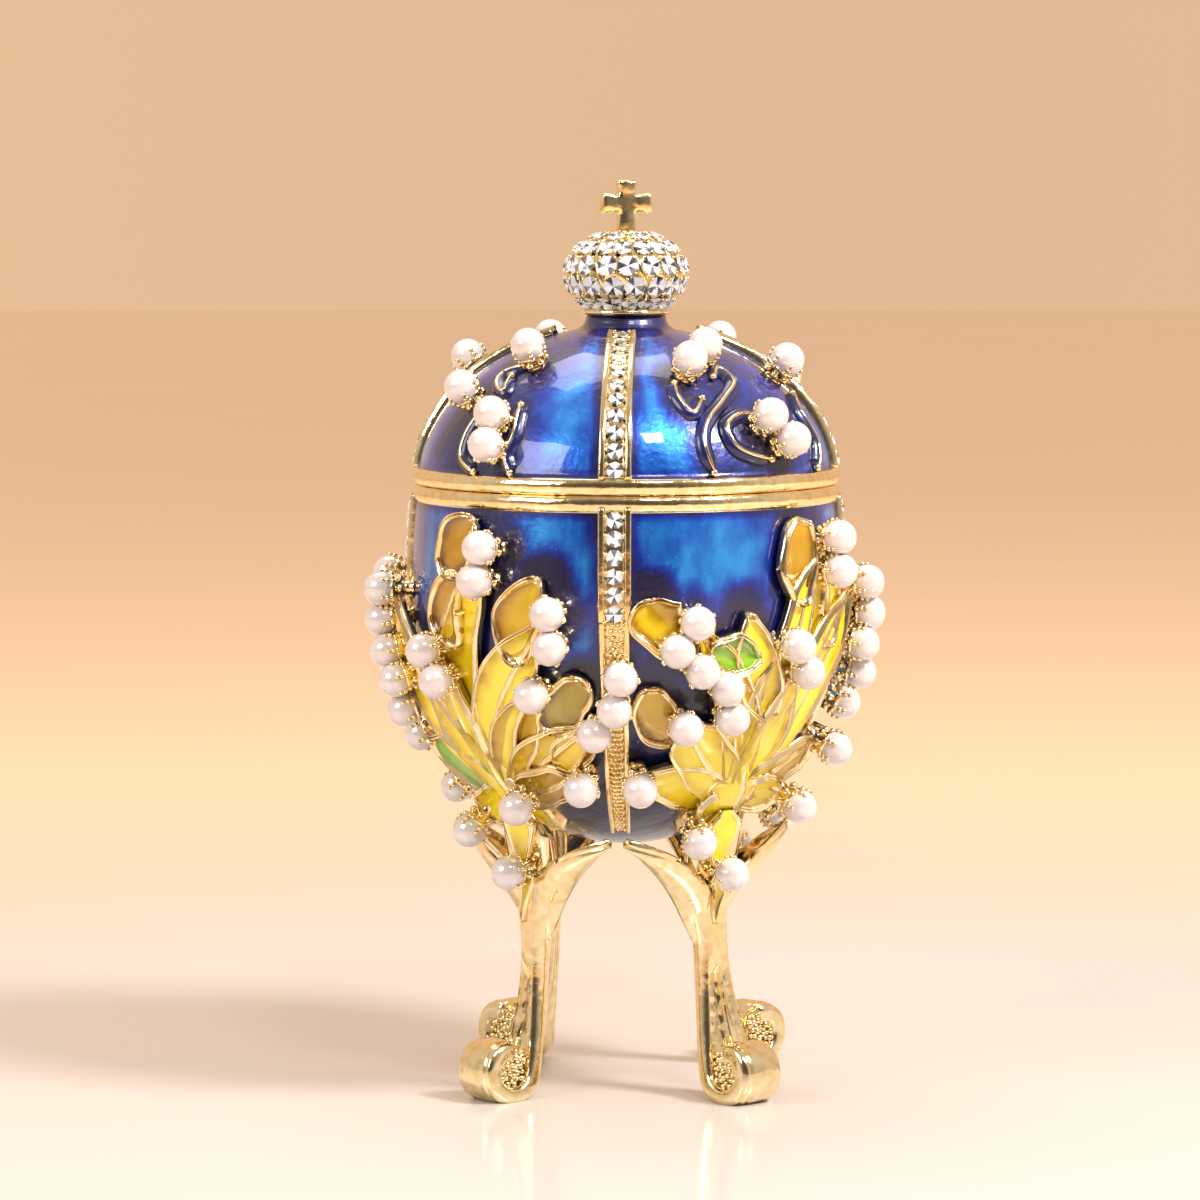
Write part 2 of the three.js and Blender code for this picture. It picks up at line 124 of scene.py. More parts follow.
# Buds and small leaves that lie between: start, end, bow, width, bluntness, tint, lift
BUDS_A = (
    ((-1, 60), (6, 66.8), -2, 6.0, 1.0, 0.5, 0.2),
    ((0, 52.5), (1, 60.5), -5, 5.4, 1.0, 0.45, 0.1),
    ((27.6, 43.5), (38, 49.2), -2, 5.4, 1.0, 0.55, 0.3),
    ((20, 51), (26, 60.5), -3, 5.6, 0.7, 0.3, 0.1),
    ((26, 40), (36, 43.5), 2, 4.6, 1.0, 0.6, 0.1),
    ((-12, 44), (-21, 53), -2, 5.0, 0.6, 0.2, 0.1),
)
BUDS_B = (
    ((-24.5, 52.6), (-36, 58.4), -3, 6.2, 1.0, 0.25, 0.1),
    ((-21, 52.6), (-6, 51.6), 0, 4.6, 0.3, 1.0, 0.7),
    ((-29, 42.5), (-35, 48.6), -2, 5.2, 1.0, 0.3, 0.2),
    ((1, 45), (-10, 56.6), -2, 5.6, 0.3, 0.0, 0.3),
    ((8, 57), (9, 66.8), -2, 5.4, 1.0, 0.5, 0.2),
    ((22, 52), (27, 63), -2, 5.0, 0.4, 0.1, 0.1),
)
LID_A = (((6.5, 84.1), ()), ((-9, 79.9), ()), ((9.2, 77.6), (8,)))
LID_B = (((-9.5, 84.2), (-50,)), ((0, 77.4), (40,)), ((30, 82.4), ()))
# Stems drawn on the lid, as places that each passes through
STEMS_A = (
    ((3, 83.6), (-4.2, 82.9), (-3, 81.7), (3, 80.9), (1.1, 82.6)),
    ((13.4, 79.6), (14.6, 76.4), (13.2, 74.2), (15.5, 72.3)),
    ((-1, 79), (-3.4, 76.2), (-2.6, 73.6), (3, 72.2)),
)
STEMS_B = (
    ((-8.5, 82.6), (-3.2, 83.4), (-1.0, 82.0), (-8.5, 80.4), (-17.3, 78.1), (-19.9, 75.6), (-18, 72.4)),
    ((3, 77.4), (-4, 78.6), (-11.4, 77.6), (-10.7, 75.4), (-6.1, 74.3), (1, 73.6)),
    ((-24.9, 82), (-25, 80.6), (-21.6, 78.9), (-17, 80.4)),
    ((29, 80.4), (24, 78.4), (25.6, 75), (22, 72.3)),
)
# What a corner carries: swing of its gold ground, leaves, buds, and pearls and stems on the lid
DRESS_A = (8, SPRAY_A, BUDS_A, LID_A, STEMS_A)
DRESS_B = (6, SPRAY_B, BUDS_B, LID_B, STEMS_B)
CORNERS = (
    ("front_left", -45, *DRESS_A),
    ("front_right", 45, *DRESS_B),
    ("back_right", 135, *DRESS_A),
    ("back_left", -135, *DRESS_B),
)

# Places in the lists of finishes
SHELL_ENAMEL, SHELL_INSIDE, SHELL_RIM = range(3)
STONE_FRONT, STONE_FOIL, STONE_SHADE_FOIL = range(3)
METAL, ENAMEL = range(2)

# Lights and camera, in metres and degrees. A light: name, azimuth, elevation, distance, size, power, colour
LIGHTS = (
    ("key", 62, 45, 0.75, (0.18, 0.18), 8.0, (1.0, 0.98, 0.96)),
    ("fill", -50, 28, 0.6, (0.30, 0.24), 1.7, (1.0, 0.96, 0.92)),
    ("front", 22, 50, 0.7, (0.14, 0.10), 1.4, (1.0, 0.98, 0.96)),
    ("top", 200, 65, 0.6, (0.4, 0.3), 1.4, (1.0, 0.95, 0.9)),
)
LIT_HEIGHT = 0.055
CAMERA = Sizes(azimuth=3.2, distance=0.600, height=0.108, aim=0.0563, pan=-0.003, focal_pixels=5178)
PICTURE_PIXELS = 1200
SENSOR_WIDTH = 36


# Numbers and places on the egg


def mix(a, b, t):
    return a + (b - a) * t


def ease(low, high, value):
    t = min(1.0, max(0.0, (value - low) / (high - low)))
    return t * t * (3 - 2 * t)


def around(azimuth, r, z):
    a = radians(azimuth)
    return Vector((r * sin(a), -r * cos(a), z))


def dome_at(z):
    """The ellipsoid that the egg follows at a height."""
    if z > SEAM_Z:
        return LID.radius, SEAM_Z, LID.reach
    return CUP.radius, CUP.centre, CUP.below if z < CUP.centre else CUP_ABOVE


def egg_radius(z):
    radius, centre, reach = dome_at(z)
    return radius * sqrt(max(0.0, 1 - ((z - centre) / reach) ** 2))


def on_egg(azimuth, z, standoff=0.0):
    """A point held off the egg, and the outward direction there."""
    radius, centre, reach = dome_at(z)
    r = egg_radius(z)
    out = Vector((r / radius**2, (z - centre) / reach**2)).normalized()
    return around(azimuth, r + standoff * out.x, z + standoff * out.y), around(azimuth, out.x, out.y)


def onward(path, t):
    """The way that a path of points with outward directions goes on at t."""
    return path(min(1.0, t + 0.01))[0] - path(max(0.0, t - 0.01))[0]


def taper(t, pace, power=0.5):
    """1 along a tube, rounding off to 0 at both ends."""
    return min(1.0, pace * t, pace * (1 - t)) ** power if 0 < t < 1 else 0.0


def weighed(weights, points):
    return tuple(sum(w * p[k] for w, p in zip(weights, points)) for k in (0, 1))


def beside(line, t, reach, height):
    """A point over the egg, sideways of a line of (azimuth, height) that runs along it."""
    azimuth, z = line(t)
    ahead = onward(lambda share: on_egg(*line(share)), t)
    side = ahead.cross(on_egg(azimuth, z)[1]).normalized()
    r = max(egg_radius(z), 6.0)
    swing = degrees(reach * side.dot(around(azimuth + 90, 1, 0)) / r)
    return on_egg(azimuth + swing, z + reach * side.z, height)[0]


def through(points):
    """A smooth line through places on the egg."""

    def line(t):
        x = t * (len(points) - 1)
        i = min(int(x), len(points) - 2)
        f = x - i
        near = [points[min(max(k, 0), len(points) - 1)] for k in range(i - 1, i + 3)]
        return tuple(
            b + 0.5 * f * (c - a + f * (2 * a - 5 * b + 4 * c - d + f * (3 * (b - c) + d - a)))
            for a, b, c, d in zip(*near)
        )

    return line


def chain_points(azimuth, z, headings, standoff):
    """Centres and outward directions of a chain of touching pearls."""
    reach = 2 * PEARL.radius * PEARL.touch
    points = [on_egg(azimuth, z, standoff)]
    for heading in headings:
        bearing = radians(heading)
        last = points[-1][0]
        r = hypot(last.x, last.y)
        slope = on_egg(azimuth, z)[1].xy.length
        stride = reach
        for _ in range(6):
            next_azimuth = azimuth + degrees(stride * sin(bearing) / r)
            next_z = z - stride * cos(bearing) * slope
            place = on_egg(next_azimuth, next_z, standoff)
            stride *= reach / (place[0] - last).length
        azimuth, z = next_azimuth, next_z
        points.append(place)
    return points


# Finishes


class Wire:
    """A shader socket. Arithmetic on wires adds Math nodes to their finish."""

    def __init__(self, finish, socket):
        self.finish = finish
        self.socket = socket

    def worked(self, operation, first, second):
        return self.finish.node("Math", {0: first, 1: second}, operation=operation)

    def __add__(self, other):
        return self.worked("ADD", self, other)

    def __sub__(self, other):
        return self.worked("SUBTRACT", self, other)

    def __rsub__(self, other):
        return self.worked("SUBTRACT", other, self)

    def __mul__(self, other):
        return self.worked("MULTIPLY", self, other)

    __radd__ = __add__
    __rmul__ = __mul__


class Finish:
    """A node tree under construction."""

    def __init__(self, owner):
        self.owner = owner
        owner.use_nodes = True
        self.tree = owner.node_tree
        self.tree.nodes.clear()

    def node(self, kind, sockets=None, out=0, stops=(), **settings):
        made = self.tree.nodes.new("ShaderNode" + kind)
        for key, value in settings.items():
            setattr(made, key, value)
        if stops:
            ramp = made.color_ramp.elements
            while len(ramp) < len(stops):
                ramp.new(1.0)
            for stop, (position, colour) in zip(ramp, stops):
                stop.position = position
                stop.color = (*colour, 1.0)
        for key, value in (sockets or {}).items():
            if isinstance(value, Wire):
                self.tree.links.new(value.socket, made.inputs[key])
            else:
                made.inputs[key].default_value = value
        return Wire(self, made.outputs[out]) if made.outputs else None

    def place(self):
        return self.node("TexCoord", out="Object")

    def noise(self, scale, detail=2.0, stretch=None):
        vector = self.place()
        if stretch:
            vector = self.node("Mapping", {"Vector": vector, "Scale": stretch}, "Vector")
        sockets = {"Vector": vector, "Scale": scale, "Detail": detail}
        return self.node("TexNoise", sockets, "Fac")

    def cells(self, scale):
        return self.node("TexVoronoi", {"Vector": self.place(), "Scale": scale}, "Distance")

    def marked(self, name):
        return self.node("Attribute", out="Fac", attribute_name=name)

    def ramp(self, value, *stops):
        return self.node("ValToRGB", {"Fac": value}, "Color", stops)

    def blend(self, factor, first, second, how="MIX"):
        sockets = {0: factor, 6: first, 7: second}
        return self.node("Mix", sockets, 2, data_type="RGBA", blend_type=how)

    def between(self, value, low, high):
        """0 below one value and 1 above another, with a soft step."""
        sockets = {"Value": value, "From Min": low, "From Max": high}
        return self.node("MapRange", sockets, "Result", interpolation_type="SMOOTHSTEP")

    def bump(self, height, strength, distance):
        sockets = {"Height": height, "Strength": strength, "Distance": distance}
        return self.node("Bump", sockets, "Normal")

    def shade(self, **sockets):
        named = {key.replace("_", " ").title().replace("Ior", "IOR"): value for key, value in sockets.items()}
        surface = self.node("BsdfPrincipled", named, "BSDF")
        self.node("OutputMaterial", {"Surface": surface})
        return self.owner


def finish(name):
    return Finish(bpy.data.materials.new(name))


def blue_enamel():
    """Clear cobalt enamel over brushed foil, pooling to navy beside rims, bands and leaves, darker towards
    the middle of each lid panel, and darkened by painted shade towards the cup's bottom.
    """
    f = finish("blue_enamel")
    cloud = f.noise(150.0)
    streak = f.noise(460.0, 4.0, (1.0, 1.0, 0.5))
    fine = f.noise(1600.0)
    spark = 1 - f.between(f.cells(900.0), 0.05, 0.16)
    darker = f.marked("darker")
    colour = f.ramp(
        0.48 * cloud + 0.34 * streak + 0.40 * (1 - darker) + 0.10 * spark,
        (0.36, (0.0009, 0.0018, 0.032)),
        (0.50, (0.0014, 0.0065, 0.115)),
        (0.64, (0.0015, 0.0260, 0.300)),
        (0.77, (0.0030, 0.1000, 0.500)),
        (0.92, (0.0200, 0.2600, 0.720)),
    )
    # Where the mark is high the enamel is darker, less metallic and less glossy; towards the cup's bottom
    # this is painted shade.
    return f.shade(
        base_color=colour,
        metallic=0.55 - 0.45 * darker,
        roughness=0.24 + 0.22 * streak,
        normal=f.bump(streak + 0.5 * fine, 0.45, 0.0003),
        coat_weight=1 - 0.35 * darker,
        coat_roughness=0.04,
        coat_ior=1.5,
    )


def plate(f, cloud, colour):
    """The colour of gold plate, a little deeper in its clouds."""
    darker = tuple(c * k for c, k in zip(colour, (0.90, 0.82, 0.64)))
    return f.ramp(cloud, (0.32, darker), (0.58, colour))


def gold(name, colour, low, high, grain):
    """Plated cast gold: wavy from the mould, a little cloudy from handling."""
    f = finish(name)
    wave = f.noise(300.0)
    cloud = f.noise(900.0, 3.0)
    return f.shade(
        base_color=plate(f, cloud, colour),
        metallic=1.0,
        roughness=low + (high - low) * cloud,
        normal=f.bump(wave + 0.25 * cloud, grain, 0.0006),
    )


def leaf_enamel():
    """Glossy lemon enamel between gold edges, amber where it pools and darker as painted shade beside the
    edges; some leaves lean to amber or green.
    """
    f = finish("leaf_enamel")
    cloud = f.noise(330.0, 3.0)
    drift = f.noise(140.0, 1.0)
    metal = f.between(f.marked("metal"), 0.36, 0.58)
    tint = f.ramp(
        f.marked("tint") + 0.36 * drift - 0.16,
        (0.0, (0.92, 0.77, 0.018)),
        (0.22, (0.80, 0.58, 0.010)),
        (0.5, (0.48, 0.25, 0.006)),
        (0.85, (0.34, 0.50, 0.020)),
        (1.0, (0.26, 0.52, 0.030)),
    )
    # Darkens the enamel towards amber: pooled enamel, painted shade beside the gold edges, and uneven clouds.
    pool_and_shade_tone = f.ramp(
        f.marked("pool_and_shade") + 0.9 * cloud - 0.15,
        (0.36, (1.0, 1.0, 1.0)),
        (0.70, (0.82, 0.71, 0.36)),
        (1.0, (0.34, 0.22, 0.06)),
    )
    enamel = f.blend(1.0, tint, pool_and_shade_tone, "MULTIPLY")
    return f.shade(
        base_color=f.blend(metal, enamel, plate(f, cloud, GOLD_COLOUR)),
        metallic=0.08 + 0.92 * metal,
        roughness=0.12 + 0.14 * cloud,
        normal=f.bump(cloud, 0.35, 0.0005),
        coat_weight=1 - metal,
        coat_roughness=0.03,
    )


def pearl_nacre():
    """Rosy white nacre under a clear skin."""
    f = finish("pearl_nacre")
    drift = f.noise(420.0)
    return f.shade(
        base_color=f.ramp(drift, (0.35, (0.69, 0.61, 0.59)), (0.65, (0.75, 0.69, 0.68))),
        metallic=0.12,
        roughness=0.22 + 0.06 * drift,
        normal=f.bump(drift, 0.04, 0.0003),
        coat_weight=1.0,
        coat_roughness=0.02,
        coat_ior=1.7,
    )


def cut_stone():
    """Clear glass, faintly cool in places."""
    f = finish("cut_stone")
    haze = f.noise(900.0)
    return f.shade(
        base_color=f.ramp(haze, (0.3, (0.97, 0.98, 1.0)), (0.7, (1.0, 1.0, 1.0))),
        roughness=0.0,
        transmission_weight=1.0,
        ior=1.55,
    )


def foil(name, dull, bright, low, spread, **rest):
    """Foil behind the stones, a little uneven."""
    f = finish(name)
    haze = f.noise(1200.0)
    return f.shade(
        base_color=f.ramp(haze, (0.3, dull), (0.7, bright)),
        roughness=low + spread * haze,
        **rest,
    )


def floor_paint():
    """Pale gloss, rosy white around the box and peach further off."""
    f = finish("floor_paint")
    near = f.node("Mapping", {"Vector": f.place(), "Scale": (2.5, 2.5, 2.5)}, "Vector")
    ball = f.node("TexGradient", {"Vector": near}, "Fac", gradient_type="SPHERICAL")
    cloud = f.noise(12.0)
    return f.shade(
        base_color=f.ramp(
            ball + 0.03 * cloud,
            (0.25, (1.0, 0.69, 0.45)),
            (0.55, (0.72, 0.55, 0.44)),
            (0.76, (0.58, 0.535, 0.52)),
        ),
        roughness=0.12 + 0.05 * cloud,
        specular_ior_level=0.5,
    )


GOLD_COLOUR = (0.92, 0.77, 0.47)
BLUE = blue_enamel()
GOLD = gold("polished_gold", GOLD_COLOUR, 0.05, 0.18, 0.25)
SATIN = gold("satin_gold", (0.88, 0.71, 0.42), 0.24, 0.40, 0.40)
YELLOW = leaf_enamel()
NACRE = pearl_nacre()
STONES = cut_stone()
# The pale foil glows a little: painted light that stands in for light the glass keeps from reaching it.
FOIL = foil(
    "glowing_stone_foil",
    (0.92, 0.94, 0.97),
    (0.98, 0.99, 1.0),
    0.20,
    0.12,
    metallic=0.12,
    emission_color=(1.0, 1.0, 1.0, 1.0),
    emission_strength=0.22,
)
# Painted shade: a dark foil for the facets that look dark from most sides
SHADE_FOIL = foil("painted_shade_foil", (0.16, 0.17, 0.20), (0.34, 0.35, 0.38), 0.12, 0.10, metallic=1.0)
STONE_FINISHES = (STONES, FOIL, SHADE_FOIL)


# Shapes


def meshed(name, bm):
    mesh = bpy.data.meshes.new(name)
    bm.to_mesh(mesh)
    bm.free()
    return mesh


def placed(name, data):
    made = bpy.data.objects.new(name, data)
    bpy.context.scene.collection.objects.link(made)
    return made


def finished(name, bm, materials, nodes=()):
    """Makes a piece of a mesh drawn in millimetres."""
    bmesh.ops.transform(bm, matrix=Matrix.Scale(MM, 4), verts=bm.verts)
    mesh = meshed(name, bm)
    for material in materials:
        mesh.materials.append(material)
    piece = placed(name, mesh)
    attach(piece, "root")
    if nodes:
        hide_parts(*nodes)


def smooth(faces):
    for face in faces:
        face.smooth = True


def turned(bm, profile, steps, paint=None):
    """Turns a profile of (radius, height) points, from axis to axis or closed, about the upright axis."""
    verts = [bm.verts.new((r, 0, z)) for r, z in profile]
    edges = [bm.edges.new(pair) for pair in zip(verts, verts[1:])]
    if profile[0][0] > 0:
        edges.append(bm.edges.new((verts[-1], verts[0])))
    bmesh.ops.spin(
        bm, geom=verts + edges, cent=(0, 0, 0), axis=(0, 0, 1), angle=tau, steps=steps, use_merge=True
    )
    bmesh.ops.remove_doubles(bm, verts=bm.verts, dist=1e-4)
    bmesh.ops.recalc_face_normals(bm, faces=bm.faces)
    smooth(bm.faces)
    if paint:
        for face in bm.faces:
            face.material_index = paint(face.calc_center_median(), face.normal)


def arc(radius, centre, reach, low, high, steps):
    angles = [radians(mix(low, high, i / steps)) for i in range(steps + 1)]
    return [(radius * cos(a), centre + reach * sin(a)) for a in angles]


def angle_at(rise, reach):
    return degrees(asin(rise / reach))


def grid(bm, across, along, material):
    verts = bmesh.ops.create_grid(bm, x_segments=across, y_segments=along, size=0.5)["verts"]
    faces = list({face for vert in verts for face in vert.link_faces})
    smooth(faces)
    for face in faces:
        face.material_index = material
    return verts, faces


def sheet(bm, across, along, place, thickness=0.4, material=METAL, marks=None):
    """A sheet over (s, t), s from -1 to 1 across and t from 0 to 1 along, thickened inwards."""
    verts, faces = grid(bm, across, along, material)
    for vert in verts:
        s, t = 2 * vert.co.x, vert.co.y + 0.5
        for name, mark in (marks or {}).items():
            vert[bm.verts.layers.float[name]] = mark(s, t)
        vert.co = place(s, t)
    bmesh.ops.solidify(bm, geom=faces, thickness=-thickness)


def tube(bm, sides, along, place, material=METAL):
    """A closed tube over (u, t): u goes once round and t from end to end, where it closes to a point."""
    verts, _ = grid(bm, sides, along, material)
    for vert in verts:
        vert.co = place(vert.co.x + 0.5, vert.co.y + 0.5)
    bmesh.ops.remove_doubles(bm, verts=verts, dist=1e-4)


def wire(bm, path, radius, sides, along, material=METAL):
    """A round wire with tapered ends through a path of points and outward directions."""

    def place(u, t):
        here, normal = path(t)
        ahead = onward(path, t).normalized()
        side = ahead.cross(normal).normalized()
        up = side.cross(ahead)
        size = radius * taper(t, 10)
        a = tau * u
        return here + side * (size * cos(a)) + up * (size * sin(a))

    tube(bm, sides, along, place, material)


def upright(point, normal, turn=0.0, size=1.0):
    """A matrix that stands a small shape on a point, with its own Z along the outward direction."""
    stand = normal.to_track_quat("Z", "Y").to_matrix().to_4x4()
    return Matrix.Translation(point) @ stand @ Matrix.Rotation(turn, 4, "Z") @ Matrix.Scale(size, 4)


def small(draw):
    """A small shape, ready to be stamped many times."""
    bm = bmesh.new()
    draw(bm)
    return meshed("small_shape", bm)


def stamp(bm, mesh, matrix):
    """Adds a copy of a small shape, moved by a matrix."""
    copy = bmesh.new()
    copy.from_mesh(mesh)
    bmesh.ops.transform(copy, matrix=matrix, verts=copy.verts)
    copy.to_mesh(SPARE)
    copy.free()
    bm.from_mesh(SPARE)


def bead(bm, point, size):
    stamp(bm, BEAD, Matrix.Translation(point) @ Matrix.Scale(size, 4))


def draw_bead(bm):
    bmesh.ops.create_icosphere(bm, subdivisions=1, radius=1.0)
    smooth(bm.faces)


def draw_stone(bm):
    """A cut stone: a flat table turned half a facet, a crown of triangles and a pointed foiled back."""
    facets, table, rise, back = 8, 0.52, 0.36, 0.26
    below_table = 0.3
    half_facet = pi / facets

    def cone(low_radius, high_radius, depth, middle):
        place = Matrix.Translation((0, 0, middle))
        bmesh.ops.create_cone(
            bm, segments=facets, radius1=low_radius, radius2=high_radius, depth=depth, matrix=place
        )

    cone(1.0, table, rise, rise / 2)
    top = [vert for vert in bm.verts if vert.co.z > below_table]
    bmesh.ops.rotate(bm, matrix=Matrix.Rotation(half_facet, 3, "Z"), verts=top)
    place = Matrix.Translation((0, 0, rise)) @ Matrix.Rotation(half_facet, 4, "Z")
    bmesh.ops.create_circle(bm, cap_ends=True, segments=facets, radius=table, matrix=place)
    cone(0.0, 1.0, back, -back / 2)
    bmesh.ops.remove_doubles(bm, verts=bm.verts, dist=1e-4)
    sides = [face for face in bm.faces if 0 < face.calc_center_median().z < below_table]
    bmesh.ops.triangulate(bm, faces=sides)
    bmesh.ops.recalc_face_normals(bm, faces=bm.faces)
    for face in bm.faces:
        middle = face.calc_center_median()
        facet = int(atan2(middle.y, middle.x) % tau / tau * facets)
        # Three of the eight back facets take the dark foil, painted shade.
        behind = STONE_SHADE_FOIL if facet in (0, 3, 5) else STONE_FOIL
        face.material_index = STONE_FRONT if middle.z > 0 else behind


def draw_pearl(bm):
    bmesh.ops.create_uvsphere(bm, u_segments=24, v_segments=14, radius=PEARL.radius)
    smooth(bm.faces)


def draw_seat(bm, post):
    """A little chalice with claws, under a pearl at the origin, and a clump of grains at its foot."""
    foot = -PEARL.radius - post
    turned(bm, [(0, foot), (1.3, foot), (0.95, foot + 0.3), *SEAT_CUP], 12)
    for k in range(SEAT_CLAWS):
        for tilt, size, reach, swing in SEAT_GRAINS:
            a = tau * (k + swing) / SEAT_CLAWS
            lean = radians(tilt)
            out = Vector((cos(a) * cos(lean), sin(a) * cos(lean), sin(lean)))
            bead(bm, out * reach, size)


SPARE = bpy.data.meshes.new("spare")
BEAD = small(draw_bead)
CUT = small(draw_stone)
ROUND = small(draw_pearl)
SEATS = {}


def pearl(beads, seats, point, normal, post, turn):
    """A pearl and its seat. Seats with a post of one length share a shape."""
    stamp(beads, ROUND, upright(point, normal))
    if post not in SEATS:
        SEATS[post] = small(lambda made: draw_seat(made, post))
    stamp(seats, SEATS[post], upright(point, normal, turn))


# Cup and lid


def rim(middle_z):
    """A rolled rim as profile points, from its lower to its upper edge."""
    half = RIM.height / 2
    angles = [radians(d) for d in range(-80, 81, 20)]
    return [(RIM.middle + RIM.bulge * cos(a), middle_z + half * sin(a)) for a in angles]


def pools():
    """Places beside which the blue enamel lies deep: the leaves and buds of all four corners."""
    spots = []
    for _, azimuth, _, spray, buds, *_ in CORNERS:
        for end, bow, width, *_ in spray:
            line = leaf_line(azimuth, end, bow)
            spots += [(on_egg(*line(t / 8))[0], width / 2) for t in range(9)]
        for start, end, bow, width, *_ in buds:
            line = bud_line(azimuth, start, end, bow)
            spots += [(on_egg(*line(t / 3))[0], width / 2) for t in range(4)]
    return spots


def mark_pool_and_shade(bm, spots, edge_z):
    """Marks how dark the enamel is: 1 where it lies deep beside metal, falling to 0 away from it; darker
    towards the middle of each lid panel, and painted shade towards the cup's bottom.
    """
    layer = bm.verts.layers.float.new("darker")
    for vert in bm.verts:
        co = vert.co
        r = co.xy.length
        azimuth = degrees(atan2(co.x, -co.y))
        beside_band = min(abs((azimuth - a + 180) % 360 - 180) for a in BAND_AZIMUTHS)
        edge = min(radians(beside_band) * r - BAND.half, abs(co.z - edge_z))
        leaf_gap = min((co - spot).length - 0.8 * half for spot, half in spots)
        if co.z > SEAM_Z:
            panel = BLUE_POOL_AND_SHADE.lid * ease(*BLUE_POOL_AND_SHADE.lid_degrees, beside_band)
        else:
            # Painted shade: the enamel darkens towards the cup's bottom.
            panel = 1 - ease(*BLUE_POOL_AND_SHADE.cup_heights, co.z)
        by_edge = BLUE_POOL_AND_SHADE.edge - BLUE_POOL_AND_SHADE.edge * ease(0.0, BLUE_POOL_AND_SHADE.edge_reach, edge)
        vert[layer] = max(by_edge, 1 - ease(0.0, BLUE_POOL_AND_SHADE.spot_reach, leaf_gap), panel)


def hand_laid(bm, low, high):
    """Makes the outside between two heights a little uneven, as enamel and rims laid by hand are."""
    for vert in bm.verts:
        skin = max(egg_radius(vert.co.z), RIM.middle if abs(vert.co.z - SEAM_Z) < RIM.height else 0.0)
        if low < vert.co.z < high and vert.co.xy.length > skin - 0.1:
            wave = sum(depth * noise.noise(rate * vert.co) for depth, rate in WAVES)
            vert.co += Vector((vert.co.x, vert.co.y, 0.0)).normalized() * wave


def shell(name, node, profile, centre_z, enamelled, laid, spots, edge_z):
    """A hollow half of the egg: enamel outside, satin gold inside, polished gold on the rim."""

    def paint(middle, normal):
        if normal.dot(middle - Vector((0, 0, centre_z))) <= 0:
            return SHELL_INSIDE
        return SHELL_ENAMEL if enamelled(middle.z) else SHELL_RIM

    bm = bmesh.new()
    turned(bm, profile, SHELL_STEPS, paint)
    hand_laid(bm, *laid)
    mark_pool_and_shade(bm, spots, edge_z)
    finished(name, bm, (BLUE, SATIN, GOLD), (node,))


def cup():
    low = SEAM_Z - RIM.height
    collar_low = SEAM_Z - COLLAR.depth
    profile = [
        *arc(CUP.radius, CUP.centre, CUP.below, -90, 0, 40),
        *[(egg_radius(z), z) for z in (*CUP_HEIGHTS, low - 0.1)],
        *rim(SEAM_Z - RIM.off_seam),
        (COLLAR.outer, SEAM_Z - RIM.gap),
        (COLLAR.outer, SEAM_Z + COLLAR.rise),
        (COLLAR.inner, SEAM_Z + COLLAR.rise),
        (COLLAR.inner, collar_low),
        (egg_radius(collar_low - WALL) - WALL, collar_low - WALL),
        *arc(CUP.radius - WALL, CUP.centre, CUP.below - WALL, 0, -90, 24),
    ]
    laid = (40, SEAM_Z - 0.1)
    shell("cup_shell", "egg_cup", profile, CUP.centre, lambda z: z < low - 0.05, laid, pools(), low)


def lid():
    seat_radius = COLLAR.outer + COLLAR.gap
    seat_high = SEAM_Z + COLLAR.rise + COLLAR.gap
    inner_reach = LID.reach - WALL
    inner_low = angle_at(seat_high + 1 - SEAM_Z, inner_reach)
    edge = SEAM_Z + RIM.height
    profile = [
        *arc(LID.radius - WALL, SEAM_Z, inner_reach, 90, inner_low, 20),
        (seat_radius, seat_high),
        (seat_radius, SEAM_Z + RIM.gap),
        *rim(SEAM_Z + RIM.off_seam),
        *arc(LID.radius, SEAM_Z, LID.reach, angle_at(2.0, LID.reach), LID.flare_angle, 40),
        *LID_NECK,
        (LID.neck_radius, LID.neck_z),
        (0.0, LID.neck_z),
    ]
    spots = [
        (point, 2.6)
        for _, azimuth, *_, sprigs, _ in CORNERS
        for (offset, z), headings in sprigs
        for point, _ in chain_points(azimuth + offset, z, headings, 0.0)
    ]
    spots += [
        (on_egg(azimuth + offset, z)[0], 0.8)
        for _, azimuth, *_, stems in CORNERS
        for stem in stems
        for offset, z in map(through(stem), [i / 12 for i in range(13)])
    ]
    laid = (SEAM_Z + 0.1, 86)
    shell("lid_shell", "egg_lid", profile, SEAM_Z, lambda z: z > edge + 0.05, laid, spots, edge)


def band_line(azimuth, low, high):
    """Up the egg at an even pace between two heights of one dome."""
    _, centre, reach = dome_at((low + high) / 2)
    start, end = angle_at(low - centre, reach), angle_at(high - centre, reach)
    return lambda t: (azimuth, centre + reach * sin(radians(mix(start, end, t))))


def even_shares(line, pitch):
    """Shares of a line at which things a pitch apart sit."""
    count = 300
    samples = [on_egg(*line(i / count))[0] for i in range(count + 1)]
    lengths = [0.0]
    for a, b in zip(samples, samples[1:]):
        lengths.append(lengths[-1] + (b - a).length)
    whole = int(lengths[-1] / pitch)
    goals = [(k + 0.5) * lengths[-1] / whole for k in range(whole)]
    return [next(i for i, length in enumerate(lengths) if length >= goal) / count for goal in goals]


